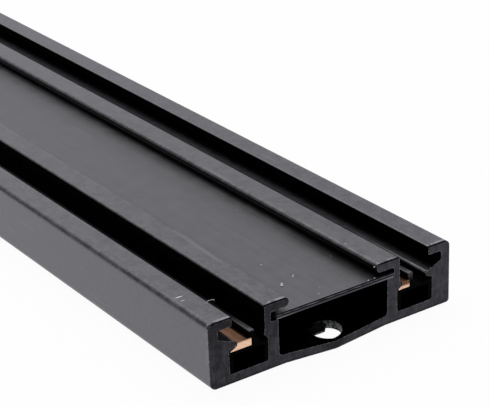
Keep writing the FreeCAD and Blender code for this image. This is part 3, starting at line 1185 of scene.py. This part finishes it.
@dataclass
class SawingDebris:
    """What sawing and punching left: chips, a curl of swarf and a torn flap in the screw hole.

    Attributes:
        shelf: The shared effects.
        chip_finish: Finish of the chips and the curl.
        strip_chips: Chips on the strip: across, back from the sawn end, radius.
        hook_chip: Chip on the right-hand hook's tip: back from the sawn end, height, radius.
        chip_slimness: Least and greatest width of a chip over its length.
        chip_flatness: Height of a chip over its width.
        raggedness: How far a chip's corners stray, as a share of its radius.
        curl_back: How far the curl lies behind the sawn end.
        curl_radius: Radius of the curl.
        curl_bite: How far its start sits in the lip's tip.
        curl_sweep: Angle that the curl goes round, in degrees.
        curl_steps: Steps that it takes.
        curl_start: Angle at which it leaves the lip, in degrees.
        curl_width: Width of the curl's ribbon.
        curl_thickness: Thickness of the ribbon.
        curl_flatness: Depth of the curl over its width.
        curl_height: Height of the ribbon's lower edge.
        lip_reach: How far the left-hand lip reaches over its groove.
        flap_segments: Corners of the circle that the flap is torn from.
        flap_chord: How far behind the hole's middle the flap's torn edge lies.
        flap_side: Point on the flap's right-hand edge, from the hole's middle.
        flap_tear: Direction in which that edge faces.
        flap_height: Height of the flap's upper face.
        flap_thickness: Thickness of the flap.
        flap_droop: How far its torn edge hangs down.
        seed: Start of the random draws.
    """

    shelf: EffectShelf
    chip_finish: Finish = BareChip("bare_chip")
    strip_chips: tuple[Point, ...] = (
        (-2.40 * MM, 4.31 * MM, 0.17 * MM),
        (-2.62 * MM, 4.00 * MM, 0.19 * MM),
        (-0.87 * MM, 4.76 * MM, 0.10 * MM),
        (-0.66 * MM, 5.02 * MM, 0.10 * MM),
        (-1.06 * MM, 0.78 * MM, 0.08 * MM),
        (-0.21 * MM, 1.73 * MM, 0.06 * MM),
        (-1.64 * MM, 8.45 * MM, 0.10 * MM),
        (3.86 * MM, 0.12 * MM, 0.10 * MM),
        (4.55 * MM, 0.12 * MM, 0.10 * MM),
        (4.22 * MM, 5.97 * MM, 0.06 * MM),
    )
    hook_chip: Point = (0.34 * MM, 5.90 * MM, 0.13 * MM)
    chip_slimness: Span = (0.5, 0.8)
    chip_flatness: float = 0.3
    raggedness: float = 0.6
    curl_back: float = 3.50 * MM
    curl_radius: float = 0.36 * MM
    curl_bite: float = 0.09 * MM
    curl_sweep: float = 175.0
    curl_steps: int = 20
    curl_start: float = 160.0
    curl_width: float = 0.05 * MM
    curl_thickness: float = 0.05 * MM
    curl_flatness: float = 0.6
    curl_height: float = 6.14 * MM
    lip_reach: float = 2.42 * MM
    flap_segments: int = 48
    flap_chord: float = 0.42 * MM
    flap_side: Span = (0.26 * MM, 0.40 * MM)
    flap_tear: Point = (1.0, -0.93, 0.0)
    flap_height: float = 0.02 * MM
    flap_thickness: float = 0.16 * MM
    flap_droop: float = 0.10 * MM
    seed: int = 7

    def build(self, coat: bpy.types.Material) -> None:
        """Makes all of it.

        Args:
            coat: The extrusion's material, for the flap.
        """
        bare = self.chip_finish.material(self.shelf)
        draw = random.Random(self.seed)
        add_piece("sawing_chips", self._chips(draw), bare)
        add_piece("swarf_curl", self._curl(), bare)
        add_piece("hole_flap", self._flap(draw), coat)

    def _chips(self, draw: random.Random) -> bmesh.types.BMesh:
        """Ragged flakes on the strip and one on the hook's tip.

        Args:
            draw: Where the random draws come from.

        Returns:
            The shape of all the chips.
        """
        strip_low, strip_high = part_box("steel_strip")
        shape = bmesh.new()
        for across, back, radius in self.strip_chips:
            height = strip_high.z + radius * self.chip_flatness / 2
            self._chip(shape, draw, (across, strip_low.y + back, height), radius)
        back, height, radius = self.hook_chip
        self._chip(shape, draw, (HOOK_TIP - radius / 3, strip_low.y + back, height), radius)
        bmesh.ops.recalc_face_normals(shape, faces=shape.faces)
        return shape

    def _chip(self, shape: bmesh.types.BMesh, draw: random.Random, place: Point, radius: float) -> None:
        """Adds one ragged flake.

        Args:
            shape: The shape to add to.
            draw: Where the random draws come from.
            place: The flake's middle.
            radius: Its radius.
        """
        turn = Matrix.Rotation(draw.uniform(0.0, math.tau), 4, "Z")
        flat = Matrix.Diagonal((1.0, draw.uniform(*self.chip_slimness), self.chip_flatness, 1.0))
        flake = bmesh.ops.create_icosphere(
            shape, subdivisions=1, radius=radius, matrix=Matrix.Translation(place) @ turn @ flat
        )
        reach = radius * self.raggedness * self.chip_flatness
        for corner in flake["verts"]:
            corner.co += Vector([draw.uniform(-reach, reach) for _ in range(3)])

    def _curl(self) -> bmesh.types.BMesh:
        """A curled ribbon that hangs on the left-hand lip's tip.

        Returns:
            The curl's shape.
        """
        low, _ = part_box("track_profile")
        tip = low.x + self.lip_reach
        shape = bmesh.new()
        lower = shape.verts.new((self.curl_radius, 0.0, 0.0))
        upper = shape.verts.new((self.curl_radius, 0.0, self.curl_width))
        ribbon = shape.edges.new((lower, upper))
        start = Matrix.Rotation(math.radians(self.curl_start), 3, "Z")
        bmesh.ops.rotate(shape, verts=shape.verts, cent=(0.0, 0.0, 0.0), matrix=start)
        bmesh.ops.spin(
            shape,
            geom=[lower, upper, ribbon],
            cent=(0.0, 0.0, 0.0),
            axis=(0.0, 0.0, 1.0),
            angle=-math.radians(self.curl_sweep),
            steps=self.curl_steps,
            use_merge=False,
        )
        bmesh.ops.recalc_face_normals(shape, faces=shape.faces)
        bmesh.ops.solidify(shape, geom=shape.faces[:], thickness=self.curl_thickness)
        bmesh.ops.scale(shape, verts=shape.verts, vec=(1.0, self.curl_flatness, 1.0))
        middle = (tip + self.curl_radius - self.curl_bite, low.y + self.curl_back, self.curl_height)
        bmesh.ops.translate(shape, verts=shape.verts, vec=middle)
        return shape

    def _flap(self, draw: random.Random) -> bmesh.types.BMesh:
        """The torn flap that the punch left at the back of the front screw hole.

        Args:
            draw: Where the random draws come from.

        Returns:
            The flap's shape.
        """
        middle, radius = front_screw_hole()
        shape = bmesh.new()
        bmesh.ops.create_circle(shape, cap_ends=True, segments=self.flap_segments, radius=radius)
        torn_edges = (
            ((0.0, self.flap_chord, 0.0), (0.0, -1.0, 0.0)),
            ((*self.flap_side, 0.0), self.flap_tear),
        )
        for point, outwards in torn_edges:
            bmesh.ops.bisect_plane(
                shape,
                geom=shape.verts[:] + shape.edges[:] + shape.faces[:],
                plane_co=point,
                plane_no=outwards,
                clear_outer=True,
            )
        bmesh.ops.triangulate(shape, faces=shape.faces)
        bmesh.ops.subdivide_edges(shape, edges=shape.edges, cuts=2, use_grid_fill=True)
        stray = self.flap_thickness / 4
        for corner in shape.verts:
            depth = 1.0 - corner.co.length / radius
            corner.co.z -= depth * self.flap_droop + draw.uniform(0.0, stray)
        bmesh.ops.recalc_face_normals(shape, faces=shape.faces)
        bmesh.ops.solidify(shape, geom=shape.faces[:], thickness=self.flap_thickness)
        bmesh.ops.translate(shape, verts=shape.verts, vec=(middle.x, middle.y, self.flap_height))
        return shape


@dataclass
class Studio:
    """Pale floor, soft light and the camera of the photograph.

    Attributes:
        floor_reach: Half the width of the floor.
        floor_colour: Colour of the floor.
        floor_glow: Share of plain white that the camera and reflections see in it.
        white: That white as the camera sees it.
        mirrored: The same as reflections see it.
        dim: Brightness of the surroundings.
        bright: Brightness of the broad window of light behind the object.
        window: Where that window of light is.
        window_fade: Cosines of the angles at which it has faded out and is at its full brightness.
        low_gain: How much brighter it is low down, along the track.
        low_window: Where that is.
        low_fade: Cosines of the angles at which this gain has faded out and is full.
        lamp_place: Where the lamp hangs.
        lamp_size: Length of its side.
        lamp_watts: Its power.
        eye: Where the camera stands.
        azimuth: Camera angle round the object, in degrees.
        elevation: Camera angle above the floor, in degrees.
        roll: Camera tilt about its own axis, in degrees.
        lens: Focal length in millimetres.
        clip: Nearest and furthest distance that the camera sees.
    """

    floor_reach: float = 12.0
    floor_colour: Colour = (0.96, 0.96, 0.97)
    floor_glow: float = 0.96
    white: Colour = (1.0, 1.0, 1.0)
    mirrored: Colour = (0.86, 0.85, 0.91)
    dim: Colour = (0.16, 0.16, 0.172)
    bright: Colour = (0.60, 0.592, 0.645)
    window: Point = (0.52, 0.72, 0.52)
    window_fade: Span = (0.55, 0.84)
    low_gain: Colour = (0.22, 0.217, 0.236)
    low_window: Point = (0.085, 0.98, 0.17)
    low_fade: Span = (0.82, 0.985)
    lamp_place: Point = (0.0, 0.3, 2.4)
    lamp_size: float = 2.0
    lamp_watts: float = 38.0
    eye: Point = (-80.98 * MM, -607.14 * MM, 74.46 * MM)
    azimuth: float = -33.946
    elevation: float = 24.356
    roll: float = -2.232
    lens: float = 129.58
    clip: Span = (0.005, 100.0)

    def build(self, floor_height: float) -> None:
        """Sets up the whole studio.

        Args:
            floor_height: Height of the floor, under the object.
        """
        self._floor(floor_height)
        self._world()
        self._lamp()
        self._camera()

    def _floor(self, height: float) -> None:
        """Lays the floor.

        Args:
            height: Height of the floor.
        """
        shape = bmesh.new()
        bmesh.ops.create_grid(shape, x_segments=4, y_segments=4, size=self.floor_reach)
        bmesh.ops.translate(shape, verts=shape.verts, vec=(0.0, 0.0, height))
        floor = mesh_object("studio_floor", shape, self._floor_material())
        floor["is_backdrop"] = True

    def _floor_material(self) -> bpy.types.Material:
        """White floor that keeps the object's shadow.

        Returns:
            The floor's material.
        """
        material = bpy.data.materials.new("studio_floor")
        material.use_nodes = True
        material.node_tree.nodes.clear()
        bench = NodeBench(material.node_tree)
        rays = bench.add("ShaderNodeLightPath").outputs
        glossy = rays["Is Glossy Ray"]
        glow = bench.add("ShaderNodeEmission", bench.blend(glossy, self.white, self.mirrored))
        matt = bench.add("ShaderNodeBsdfDiffuse", self.floor_colour)
        seen = bench.largest(rays["Is Camera Ray"], glossy, rays["Is Transmission Ray"])
        share = bench.times(seen, self.floor_glow)
        mix = bench.add("ShaderNodeMixShader", share, matt.outputs[0], glow.outputs[0])
        bench.add("ShaderNodeOutputMaterial", mix.outputs[0])
        return material

    def _world(self) -> None:
        """Surrounds the object with a dim room that has a broad window of light behind it."""
        world = bpy.data.worlds.new("studio")
        bpy.context.scene.world = world
        world.use_nodes = True
        bench = NodeBench(world.node_tree)
        background = next(n for n in world.node_tree.nodes if n.type == "BACKGROUND")
        room = bench.blend(self._towards(bench, self.window, self.window_fade), self.dim, self.bright)
        low = self._towards(bench, self.low_window, self.low_fade)
        bench.feed(background.inputs["Color"], bench.blend(low, room, self.low_gain, Overlay.ADD))

    @staticmethod
    def _towards(bench: NodeBench, place: Point, fade: Span) -> Socket:
        """One towards a place in the surroundings, fading out round it.

        Args:
            bench: The world's bench.
            place: The place, as seen from the object.
            fade: Cosines of the angles at which it has faded out and is one.

        Returns:
            The mask.
        """
        ray = bench.add("ShaderNodeTexCoord").outputs["Generated"]
        aim = Vector(place).normalized()
        towards = bench.add("ShaderNodeVectorMath", ray, aim, operation="DOT_PRODUCT")
        return bench.span(towards.outputs["Value"], *fade)

    def _lamp(self) -> None:
        """Hangs one broad soft lamp over the object, facing it."""
        lamp = bpy.data.lights.new("overhead_lamp", "AREA")
        lamp.shape = "SQUARE"
        lamp.size = self.lamp_size
        lamp.energy = self.lamp_watts
        holder = link_object("overhead_lamp", lamp)
        holder.location = self.lamp_place
        holder.rotation_mode = "QUATERNION"
        holder.rotation_quaternion = (-Vector(self.lamp_place)).to_track_quat("-Z", "Y")

    def _camera(self) -> None:
        """Places the camera where the photograph was taken from."""
        turn = math.radians(self.azimuth)
        lift = math.radians(self.elevation)
        tilt = math.radians(self.roll)
        back = Vector((math.sin(turn) * math.cos(lift), -math.cos(turn) * math.cos(lift), math.sin(lift)))
        level = Vector((0.0, 0.0, 1.0)).cross(back).normalized()
        upright = back.cross(level)
        right = level * math.cos(tilt) + upright * math.sin(tilt)
        up = back.cross(right)
        data = bpy.data.cameras.new("photo_camera")
        data.sensor_width = SENSOR_WIDTH
        data.lens = self.lens
        data.clip_start, data.clip_end = self.clip
        camera = link_object("photo_camera", data)
        facing = Matrix((right, up, back)).transposed().to_4x4()
        camera.matrix_world = Matrix.Translation(self.eye) @ facing
        bpy.context.scene.camera = camera


def link_object(name: str, data: bpy.types.ID) -> bpy.types.Object:
    """Puts a new object into the scene.

    Args:
        name: The object's name.
        data: Its mesh, light or camera.

    Returns:
        The object.
    """
    holder = bpy.data.objects.new(name, data)
    bpy.context.scene.collection.objects.link(holder)
    return holder


def mesh_object(name: str, shape: bmesh.types.BMesh, material: bpy.types.Material) -> bpy.types.Object:
    """Makes a mesh object from a shape.

    Args:
        name: The object's name.
        shape: Its shape, which is used up.
        material: Its finish.

    Returns:
        The object.
    """
    mesh = bpy.data.meshes.new(name)
    shape.to_mesh(mesh)
    shape.free()
    mesh.materials.append(material)
    return link_object(name, mesh)


def paint(node: str, material: bpy.types.Material) -> None:
    """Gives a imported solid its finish.

    Args:
        node: Name of the solid.
        material: The finish.
    """
    for slot in frame["nodes"][node].material_slots:
        slot.material = material
    LOG.info("%s: %s", node, material.name)


def add_piece(name: str, shape: bmesh.types.BMesh, material: bpy.types.Material) -> None:
    """Adds a new piece that stays with the track.

    Args:
        name: The piece's name.
        shape: Its shape, which is used up.
        material: Its finish.
    """
    piece = mesh_object(name, shape, material)
    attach(piece, BODY)
    LOG.info("%s: %s", name, material.name)


def front_screw_hole() -> tuple[Vector, float]:
    """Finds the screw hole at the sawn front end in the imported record.

    Returns:
        Its middle and its radius.
    """
    hole = next(mount for mount in frame["record"]["mounts"] if mount["name"] == "end_screw_holes")
    half_spacing = hole["dims"]["spacing_y_mm"] / 2 * MM
    middle = Vector(hole["pos_m"]) - Vector((0.0, half_spacing, 0.0))
    return middle, hole["dims"]["hole_r_mm"] * MM


def main() -> None:
    """Dresses the track and sets up the studio."""
    logging.basicConfig(level=logging.INFO, format="%(name)s: %(message)s")
    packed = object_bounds()
    bpy.context.scene.view_settings.view_transform = "Standard"
    shelf = EffectShelf()
    coat = TrackBody(shelf).dress()
    Conductors(shelf).dress()
    SawingDebris(shelf).build(coat)
    Studio().build(packed[0].z)


if __name__ == "__main__":
    main()
